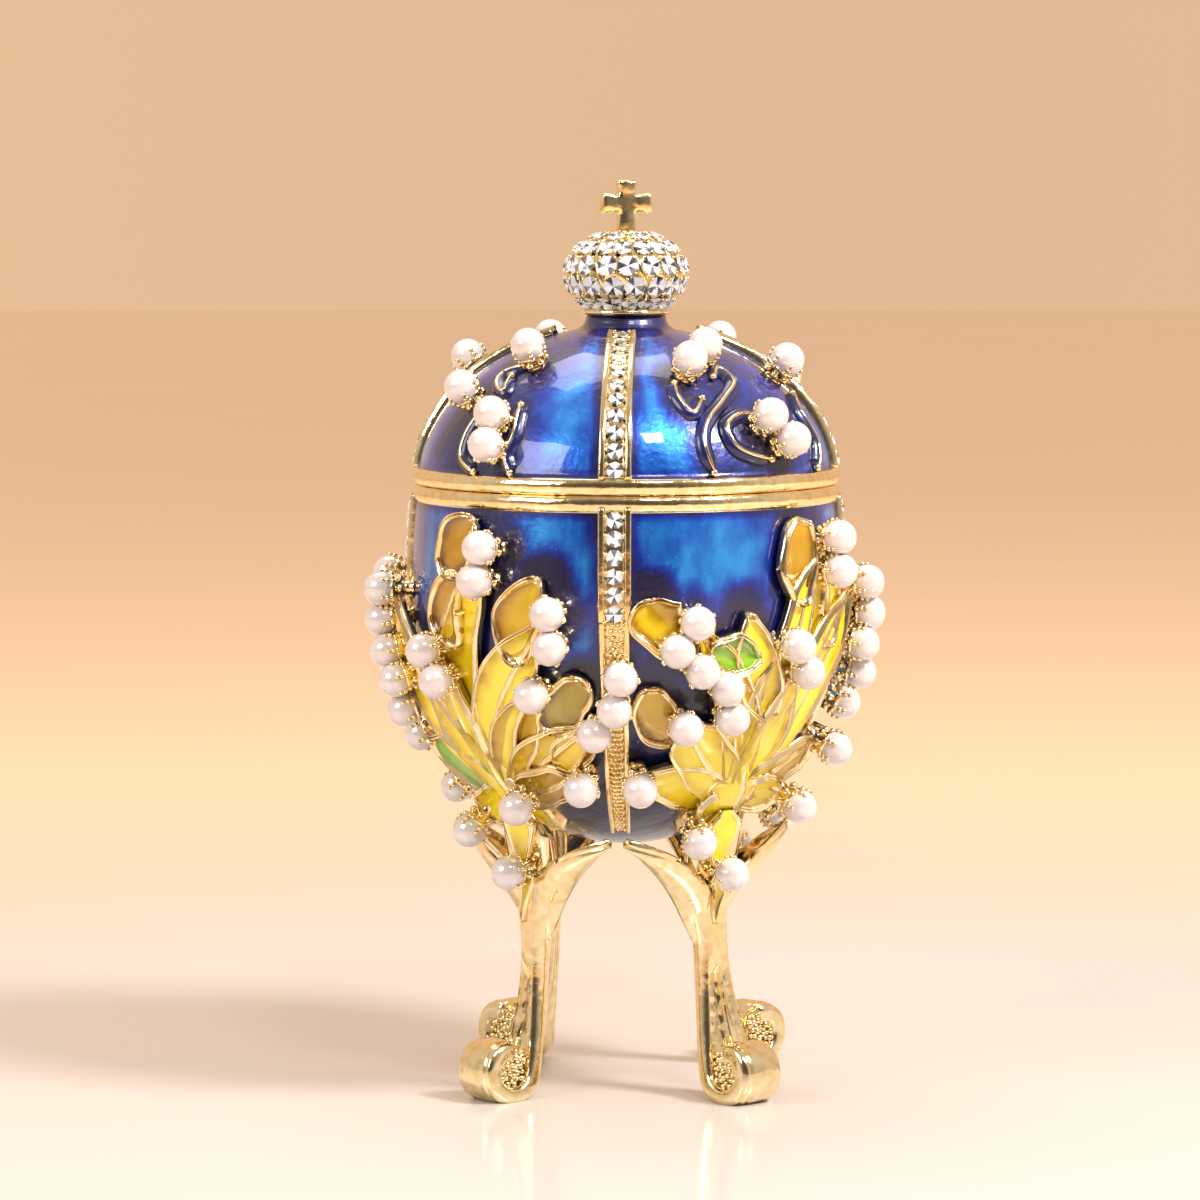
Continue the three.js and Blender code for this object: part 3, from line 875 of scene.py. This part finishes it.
def bands():
    """Gold channels that hold the stones, with a grained gold strip where the cup's stones end."""
    metal = bmesh.new()
    gems = bmesh.new()
    stretches = (
        (BAND.lid_from, BAND.lid_to, True, 1.0, 0.86),
        (BAND.stones_from, BAND.cup_to, True, 1.0, 1.0),
        (BAND.cup_from, BAND.stones_from, False, 0.6, 0.95),
    )
    for azimuth in BAND_AZIMUTHS:
        for low, high, jewelled, narrow, wide in stretches:
            line = band_line(azimuth, low, high)

            def place(s, t):
                rail = ease(0.50, 0.62, abs(s)) * (1 - ease(0.90, 1.0, abs(s)))
                height = 0.12 + 0.55 * rail - 0.3 * ease(0.92, 1.0, abs(s))
                return beside(line, t, s * BAND.half * mix(narrow, wide, t), height)

            sheet(metal, 24, 36, place)
            pitch = STONE.pitch if jewelled else GRAIN.pitch
            for i, t in enumerate(even_shares(line, pitch)):
                size = mix(narrow, wide, t)
                if jewelled:
                    here, normal = beside(line, t, 0, STONE.height), on_egg(*line(t))[1]
                    stamp(gems, CUT, upright(here, normal, STONE.turn * i, STONE.radius * size))
                    ahead = min(1, t + CLAW.ahead)
                    for sign in (-1, 1):
                        claw = beside(line, ahead, sign * CLAW.across * size, CLAW.height)
                        bead(metal, claw, CLAW.size)
                else:
                    for column in (-1, 0, 1):
                        across = (GRAIN.column * column + GRAIN.stagger * (-1) ** i) * size
                        grain = beside(line, t, across, GRAIN.height)
                        bead(metal, grain, GRAIN.large if (i + column) % 2 else GRAIN.small)
    finished("band_channels", metal, (GOLD,))
    finished("band_stones", gems, STONE_FINISHES)


# Crown finial


def lobed(azimuth, height):
    """Share of the bulb's radius left at an azimuth; the grooves wind round as they come down."""
    turn = azimuth - CROWN.turn - CROWN.twist * height
    return 1 - CROWN.lobe_depth * abs(cos(radians(CROWN.lobes / 2 * turn)))


def on_bulb(azimuth, latitude, standoff):
    """A point held off the crown's bulb, and the outward direction there."""
    a = radians(latitude)
    swell = lobed(azimuth, sin(a))
    r, z = CROWN.bulb * cos(a) * swell, CROWN.centre + CROWN.reach * sin(a)
    out = Vector((cos(a) / CROWN.bulb, sin(a) / CROWN.reach)).normalized()
    return around(azimuth, r + standoff * out.x, z + standoff * out.y), around(azimuth, out.x, out.y)


def crown():
    """A lobed bulb with stones in rows, gold ribs between the lobes, and a collar."""
    metal = bmesh.new()
    gems = bmesh.new()
    profile = [
        (0.0, LID.neck_z),
        (LID.neck_radius, LID.neck_z),
        *CROWN_COLLAR,
        *arc(CROWN.bulb, CROWN.centre, CROWN.reach, -60, 72, 24),
        *CROWN_CAP,
    ]
    turned(metal, profile, 96)
    for vert in metal.verts:
        if CROWN_COLLAR[-1][1] + 0.05 < vert.co.z < CROWN_CAP[0][1] - 0.05:
            height = (vert.co.z - CROWN.centre) / CROWN.reach
            vert.co.xy *= lobed(degrees(atan2(vert.co.x, -vert.co.y)), height)
    pitch = 360 / CROWN.lobes
    for lobe_number in range(CROWN.lobes):
        groove = CROWN.turn + lobe_number * pitch

        def winding(latitude, across):
            return groove + across * pitch + CROWN.twist * sin(radians(latitude))

        def rib(t):
            latitude = mix(-60, 76, t)
            return on_bulb(winding(latitude, 0), latitude, 0.15)

        wire(metal, rib, 0.4, 8, 32)
        for row, (latitude, size, spread) in enumerate(CROWN_ROWS):
            for sign in (-1, 1) if spread else (0,):
                here, normal = on_bulb(winding(latitude, 0.5 + sign * spread), latitude, 0.42)
                stamp(gems, CUT, upright(here, normal, lobe_number + row, size))
                stand = upright(here, normal)
                reach = CROWN_CLAW.across * size
                for k in range(CROWN_CLAW.count):
                    a = tau * (k + 0.5) / CROWN_CLAW.count
                    claw = stand @ Vector((reach * cos(a), reach * sin(a), CROWN_CLAW.height))
                    bead(metal, claw, CROWN_CLAW.size)
    finished("crown_metal", metal, (GOLD,), ("crown_finial",))
    finished("crown_stones", gems, STONE_FINISHES)


def cross():
    """A plump cross: a block whose four sides are drawn out into widening arms."""
    bm = bmesh.new()
    half = CROSS.bar / 2
    block = Matrix.Diagonal((2 * half, 0.8 * CROSS.depth, 2 * half, 1))
    bmesh.ops.create_cube(bm, size=1.0, matrix=Matrix.Translation((0, 0, CROSS.arms)) @ block)
    reaches = (
        (Vector((1, 0, 0)), CROSS.span / 2),
        (Vector((-1, 0, 0)), CROSS.span / 2),
        (Vector((0, 0, 1)), CROSS.top - CROSS.arms),
        (Vector((0, 0, -1)), CROSS.arms - CROSS.base),
    )
    sides = [max(bm.faces, key=lambda face: face.normal.dot(way)) for way, _ in reaches]
    for (way, reach), side in zip(reaches, sides):
        end = bmesh.ops.extrude_discrete_faces(bm, faces=[side])["faces"][0]
        bmesh.ops.translate(bm, vec=way * (reach - half), verts=end.verts)
        wide = 1 + CROSS.flare / half
        grow = Vector((1 if way.x else wide, 1.15, 1 if way.z else wide))
        bmesh.ops.scale(bm, vec=grow, space=Matrix.Translation(-end.calc_center_median()), verts=end.verts)
    edges = bm.edges[:]
    bmesh.ops.bevel(
        bm, geom=edges, offset=CROSS.rounding, segments=3, profile=0.5, affect="EDGES", material=-1
    )
    smooth(bm.faces)
    bmesh.ops.rotate(bm, matrix=Matrix.Rotation(radians(CROWN.turn), 3, "Z"), verts=bm.verts)
    finished("crown_cross", bm, (GOLD,))


# Legs


def scroll_point(turn):
    a = radians(mix(SCROLL.start, SCROLL.end, turn))
    reach = mix(SCROLL.start_reach, SCROLL.end_reach, turn)
    return SCROLL.centre[0] + reach * cos(a), SCROLL.centre[1] + reach * sin(a)


def shaft_point(t):
    points = (*SHAFT, scroll_point(0))
    weights = ((1 - t) ** 3, 3 * t * (1 - t) ** 2, 3 * t * t * (1 - t), t**3)
    return weighed(weights, points)


def leg_line(t):
    share = LEG.shaft_share
    return shaft_point(t / share) if t < share else scroll_point((t - share) / (1 - share))


def along_leg(sizes, t):
    if t < LEG.waist:
        return mix(sizes.top, sizes.waist, ease(LEG.shoulder, LEG.waist, t))
    if t < LEG.foot:
        return mix(sizes.waist, sizes.foot, ease(LEG.waist, LEG.foot, t))
    return mix(sizes.foot, sizes.tip, (t - LEG.foot) / (1 - LEG.foot))


def on_leg(azimuth, t, x, y, extra=0.0):
    """A point of the leg's section at t: x across and y through it, each from -1 to 1, y = -1 outside."""
    r, z = leg_line(t)
    r1, z1 = leg_line(min(1.0, t + 0.005))
    r0, z0 = leg_line(max(0.0, t - 0.005))
    ahead = Vector((r1 - r0, z1 - z0)).normalized()
    depth = y * along_leg(LEG_DEPTH, t) - extra
    middle = around(azimuth, r + depth * ahead.y, max(0.0, z - depth * ahead.x))
    return middle + around(azimuth + 90, x * along_leg(LEG_WIDTH, t), 0)


def leg(bm, azimuth):
    """The waisted shaft and its scroll: fluted inside, hollowed and beaten outside, ribbed on the roll."""

    def place(u, t):
        a = tau * u
        end = taper(t, 16)
        square = mix(0.8, 0.5, ease(0.4, 0.6, t))
        x, y = (copysign(abs(c) ** square, c) for c in (sin(a), cos(a)))
        worn = 1.0
        if y < 0:
            trough = ease(0.31, 0.37, t) * (1 - ease(0.80, 0.92, t)) * (1 - ease(0.48, 0.70, abs(x)))
            beaten = noise.noise(Vector((4 * x + azimuth, 70 * t, 0)))
            worn -= trough * (0.85 + 0.22 * beaten)
            worn += 0.05 * (1 - ease(0.24, 0.34, t)) * cos(7 * x + 3 * t)
        else:
            worn += 0.10 * ease(0.04, 0.12, t) * (1 - ease(0.45, 0.6, t)) * cos(11 * x)
            worn += 0.05 * ease(0.6, 0.66, t) * cos(22 * x + 0.8 * sin(30 * t))
        return on_leg(azimuth, t, x * end, y * end * worn)

    tube(bm, 56, 130, place)


def roll(bm, azimuth):
    """The core that fills the scroll, and gold crumbs on its two ends and in the nook before it."""
    side = around(azimuth + 90, 1, 0)
    centre = around(azimuth, *SCROLL.centre)

    def place(u, t):
        a = tau * u
        size = ROLL.radius * taper(t, 10, 0.4)
        out = around(azimuth, size * cos(a), size * sin(a))
        return centre + side * mix(-ROLL.half, ROLL.half, t) + out

    tube(bm, 24, 16, place)
    for k in range(NOOK.crumbs):
        spread = noise.random_unit_vector()
        spot = around(azimuth, NOOK.radius + 0.5 * spread.x, NOOK.height + 0.9 * spread.y)
        bead(bm, spot + side * (ROLL.half * spread.z), 0.4 + 0.02 * (k % 7))
    for sign in (-1, 1):
        for k in range(ROLL.end_crumbs):
            a = ROLL.crumb_turn * k
            reach = ROLL.crumb_reach * sqrt((k + 0.5) / ROLL.end_crumbs)
            end = around(azimuth, reach * cos(a), reach * sin(a))
            bead(bm, centre + end + side * sign * (2.15 + 0.06 * (k % 4)), 0.34 + 0.04 * (k % 5))


def lobe(bm, azimuth, side):
    """A pointed lobe that swells out of the leg like the mouth of a trumpet and stands free below the egg."""

    def path(t):
        weights = ((1 - t) ** 2, 2 * t * (1 - t), t * t)
        r, z = weighed(weights, (LOBE.root, LOBE.bend, LOBE.tip))
        swing = azimuth + side * LOBE.swing * t ** LOBE.sweep
        return around(swing, r, z), around(swing, 0.8, -0.6)

    def place(s, t):
        here, normal = path(t)
        ahead = onward(path, t)
        half = LOBE.width / 2 * (0.42 + 1.55 * t - 1.88 * t * t)
        cupped = 0.65 - 1.1 * s * s * ease(0.1, 0.5, t) * (1 - 0.5 * t)
        return here + ahead.cross(normal).normalized() * (s * half) + normal * cupped

    sheet(bm, 20, 36, place, thickness=0.7)


def inlay(bm, azimuth, start, end, wide, lean):
    """Yellow enamel let into the outer face of the leg, drawn out to a point, in a raised edge."""

    def place(s, t):
        half = wide * (1 - 0.92 * t ** 1.4) * (0.35 + 0.65 * ease(0.0, 0.25, t))
        edge = ease(0.66, 0.84, abs(s)) * (1 - ease(0.9, 1.0, abs(s)))
        sway = lean * sin(5 * t)
        over = 0.34 + 0.22 * edge - 0.6 * ease(0.86, 1.0, abs(s))
        return on_leg(azimuth, mix(start, end, t), s * half + sway, -1.0, over)

    marks = {
        "metal": lambda s, t: max(ease(0.6, 0.76, abs(s)), ease(0.9, 0.98, t)),
        "pool_and_shade": lambda s, t: 0.45 * t,
        "tint": lambda s, t: 0.1,
    }
    sheet(bm, 18, 24, place, 0.3, ENAMEL, marks)


# Sprays


def leaf_line(azimuth, end, bow):
    line = bud_line(azimuth, LEAF_ROOT, end, bow)
    return lambda t: line(mix(LEAF_FROM, 1, t))


def bud_line(azimuth, start, end, bow):
    """From place to place beside a leg, in a bow."""
    return lambda t: (
        azimuth + mix(start[0], end[0], t) + bow * sin(pi * t),
        mix(start[1], end[1], t),
    )


def leaf(bm, line, width, blunt=0.0, curl=0.0, lift=0.0, veins=0, tint=0.0, root=0.45):
    """A leaf with raised, slightly uneven gold edges and veins, and enamel laid in the hollow between."""
    lines = {0: (), 1: (0.0,), 2: (-0.3, 0.3)}[veins]
    azimuth, z = line(1.0)
    phase = 0.7 * azimuth + z
    gold_width = mix(0.36, 0.58, blunt)

    def half(t):
        pointed = (0.46 + 0.54 * sin(pi * t**0.85)) * (1 - 0.85 * ease(0.72, 1.0, t))
        rounded = 0.08 + 0.92 * sqrt(max(0.0, 1 - (2 * t - 1) ** 2))
        uneven = 1 + 0.06 * sin(8 * t + phase) + 0.04 * sin(15 * t + 2 * phase)
        return width / 2 * mix(pointed, rounded, blunt) * uneven

    def metal(s, t):
        inset = (1 - abs(s)) * half(t)
        wide = gold_width * (1 + 0.28 * sin(6 * t + phase + 2 * copysign(1, s)))
        edge = 1 - ease(0.75 * wide, 1.15 * wide, inset)
        sway = 0.06 * sin(7 * t + phase)
        vein = max([1 - ease(0.12, 0.32, abs(s - at - sway) * half(t)) for at in lines], default=0.0)
        ends = max(ease(0.93, 0.965, t), (1 - ease(0.02, 0.06, t)) if blunt else 0.0)
        return max(edge * ease(0.06, root, t) if not blunt else edge, 0.8 * vein * ease(0.15, 0.4, t), ends)

    def place(s, t):
        hollow = 0.7 * s * s * ease(3.0, 7.0, width)
        fold = 0.2 * sin(2.8 * s + 3 * t + phase) * ease(0.1, 0.3, t)
        top = LEAF_LIFT + lift + 0.45 + 0.5 * metal(s, t) + hollow + fold + curl * t * t
        drop = min(top + 0.1, 1.4) * max(ease(0.93, 1.0, abs(s)), 0.9 * ease(0.98, 1.0, t) if blunt else 0.0)
        return beside(line, t, s * half(t), top - drop)

    def pool_and_shade(s, t):
        # Darker beside the gold edges, pooled enamel together with painted shade; darker at the root of
        # tinted leaves and in buds.
        pool_and_shade_by_edge = 0.45 * ease(0.3, 0.9, abs(s))
        at_root = 0.3 * tint * (1 - ease(0.0, 0.4, t))
        in_bud = blunt * (0.25 * abs(s) + 0.4 * (1 - ease(0.0, 0.7, t)))
        return pool_and_shade_by_edge + at_root + in_bud

    marks = {"metal": metal, "pool_and_shade": pool_and_shade, "tint": lambda s, t: tint}
    sheet(bm, 30, 28 if blunt else 40, place, 0.35, ENAMEL, marks)


def fan(bm, azimuth, swing):
    """Gold ground behind the leaves, where they crowd together above the leg."""

    def line(t):
        return azimuth + swing * t, mix(FAN.low, FAN.high, t)

    def place(s, t):
        half = mix(3.0, 9.5, ease(0.0, 0.6, t)) * (1 - 0.8 * ease(0.7, 1.0, t))
        ripple = 0.12 * sin(9 * s + 4 * t)
        tucked = 0.6 * max(ease(0.88, 1.0, abs(s)), ease(0.92, 1.0, t))
        return beside(line, t, s * half, 0.42 + ripple - tucked)

    sheet(bm, 26, 20, place, thickness=0.3)


def boss(bm, azimuth):
    """The yellow swelling at the top of a leg that the leaves spring from."""

    def line(t):
        return azimuth, mix(BOSS.low, BOSS.high, t)

    def place(s, t):
        half = BOSS.half * (0.75 + 0.25 * sin(pi * t)) * (1 - 0.75 * ease(0.6, 1.0, t))
        edge = ease(0.78, 0.86, abs(s)) * (1 - ease(0.92, 1.0, abs(s)))
        crease = 0.3 * exp(-((s - 0.25 * sin(4 * t)) / 0.12) ** 2)
        swell = 1.55 * (1 - 0.5 * s * s) * sin(pi * mix(0.2, 0.92, t)) ** 0.7
        return beside(line, t, s * half, 0.3 + swell + 0.25 * edge + crease - 1.2 * ease(0.92, 1.0, abs(s)))

    def metal(s, t):
        return max(ease(0.74, 0.86, abs(s)), 1 - ease(0.05, 0.15, abs(s - 0.25 * sin(4 * t))))

    marks = {"metal": metal, "pool_and_shade": lambda s, t: 0.35 * s * s, "tint": lambda s, t: 0.0}
    sheet(bm, 30, 26, place, 0.4, ENAMEL, marks)


def knee_point(azimuth):
    """Where the pearl sits in front of a leg, and its outward direction."""
    t = (SHAFT[0][1] - PEARL.knee_z) / (SHAFT[0][1] - SCROLL.centre[1])
    r, z = shaft_point(t)
    return around(azimuth, r + PEARL.knee_out, z), around(azimuth, 1, 0)


def lid_stem(bm, azimuth, stem):
    """A stem that wanders over the lid: an enamelled ridge, a gold thread along it, a grain at each end."""
    line = through(stem)

    def path(standoff):
        return lambda t: on_egg(azimuth + line(t)[0], line(t)[1], standoff)

    wire(bm, path(-0.3), 1.05, 12, 44, ENAMEL)
    wire(bm, path(0.58), 0.24, 8, 44)
    for t in (0.0, 1.0):
        bead(bm, path(0.4)(t)[0], 0.5)


def corner(name, azimuth, swing, spray, buds, lid_sprigs, stems):
    """A leg with its spray, and the pearls, seats and stems above it."""
    metal = bmesh.new()
    for mark in ("metal", "pool_and_shade", "tint"):
        metal.verts.layers.float.new(mark)
    leg(metal, azimuth)
    lobe(metal, azimuth, -1)
    lobe(metal, azimuth, 1)
    roll(metal, azimuth)
    for row in INLAYS:
        inlay(metal, azimuth, *row)
    fan(metal, azimuth, swing)
    boss(metal, azimuth)
    for i, (end, bow, width, curl, _, veins, tint) in enumerate(spray):
        line = leaf_line(azimuth, end, bow)
        leaf(metal, line, width, curl=curl, lift=LEAF_STEP * (i % 3), veins=veins, tint=tint)
    for start, end, bow, width, blunt, tint, lift in buds:
        line = bud_line(azimuth, start, end, bow)
        leaf(metal, line, width, blunt=blunt, lift=lift, tint=tint, root=0.15)
    finished(f"leg_and_spray_{name}", metal, (GOLD, YELLOW), (f"leg_{name}",))

    seats = bmesh.new()
    beads = bmesh.new()
    carried = [(end, curl, headings) for end, _, _, curl, headings, *_ in spray if headings is not None]
    for (offset, z), curl, headings in carried:
        chain = chain_points(azimuth + offset, z, headings, PEARL.over_leaf + curl)
        for i, (point, normal) in enumerate(chain):
            post = PEARL.over_leaf - PEARL.radius + (curl if i else 0.0)
            pearl(beads, seats, point, normal, round(post, 2), PEARL.seat_turn * i + offset)
    pearl(beads, seats, *knee_point(azimuth), 1.0, 0.3)
    nodes = [f"pearls_{name}_{i + 1}" for i in range(len(carried))] + [f"pearls_{name}_knee"]
    finished(f"spray_pearls_{name}", beads, (NACRE,), nodes)

    beads = bmesh.new()
    wires = bmesh.new()
    darker = wires.verts.layers.float.new("darker")
    for stem in stems:
        lid_stem(wires, azimuth, stem)
    for vert in wires.verts:
        vert[darker] = 1.0
    for (offset, z), headings in lid_sprigs:
        chain = chain_points(azimuth + offset, z, headings, PEARL.over_lid)
        for i, (point, normal) in enumerate(chain):
            pearl(beads, seats, point, normal, 0.8, PEARL.seat_turn * i + offset)
    nodes = [f"lid_pearls_{name}_{i + 1}" for i in range(len(lid_sprigs))]
    finished(f"lid_sprig_pearls_{name}", beads, (NACRE,), nodes)
    finished(f"lid_stems_{name}", wires, (GOLD, BLUE))
    finished(f"pearl_seats_{name}", seats, (GOLD,))


# Floor, light and camera


def floor():
    bm = bmesh.new()
    bmesh.ops.create_circle(bm, cap_ends=True, segments=96, radius=3.0)
    mesh = meshed("floor", bm)
    mesh.materials.append(floor_paint())
    made = placed("floor", mesh)


def aimed(made, location, target):
    made.location = location
    made.rotation_euler = (target - made.location).to_track_quat("-Z", "Y").to_euler()


def softbox(name, azimuth, elevation, distance, size, power, colour):
    lamp = bpy.data.lights.new(name, "AREA")
    lamp.shape = "RECTANGLE"
    lamp.size, lamp.size_y = size
    lamp.energy = power
    lamp.color = colour
    e = radians(elevation)
    target = Vector((0, 0, LIT_HEIGHT))
    location = target + around(azimuth, distance * cos(e), distance * sin(e))
    aimed(placed(name, lamp), location, target)


def surroundings():
    """A peach studio that is bright behind the box and dim in front of it."""
    world = bpy.data.worlds.new("studio")
    f = Finish(world)
    way = f.node("TexCoord", out="Generated")
    depth = f.node("SeparateXYZ", {"Vector": way}, "Y")
    colour = f.ramp(
        0.5 + 0.5 * depth,
        (0.05, (0.12, 0.10, 0.09)),
        (0.25, (0.50, 0.46, 0.43)),
        (0.50, (0.84, 0.72, 0.62)),
        (0.97, (1.0, 0.64, 0.38)),
        (1.0, (0.85, 0.55, 0.33)),
    )
    shade = f.node("Background", {"Color": colour, "Strength": 0.9}, "Background")
    f.node("OutputWorld", {"Surface": shade})
    bpy.context.scene.world = world


def camera():
    a = radians(CAMERA.azimuth)
    pan = Vector((cos(a), sin(a), 0)) * CAMERA.pan
    lens = bpy.data.cameras.new("camera")
    lens.sensor_width = SENSOR_WIDTH
    lens.lens = CAMERA.focal_pixels / PICTURE_PIXELS * SENSOR_WIDTH
    lens.clip_start = 0.01
    made = placed("camera", lens)
    location = around(CAMERA.azimuth, CAMERA.distance, CAMERA.height) + pan
    aimed(made, location, Vector((0, 0, CAMERA.aim)) + pan)
    bpy.context.scene.camera = made


noise.seed_set(7)
cup()
lid()
bands()
crown()
cross()
for row in CORNERS:
    corner(*row)
for mesh in (SPARE, BEAD, CUT, ROUND, *SEATS.values()):
    bpy.data.meshes.remove(mesh)
floor()
surroundings()
for row in LIGHTS:
    softbox(*row)
camera()
bpy.context.scene.view_settings.view_transform = "Standard"
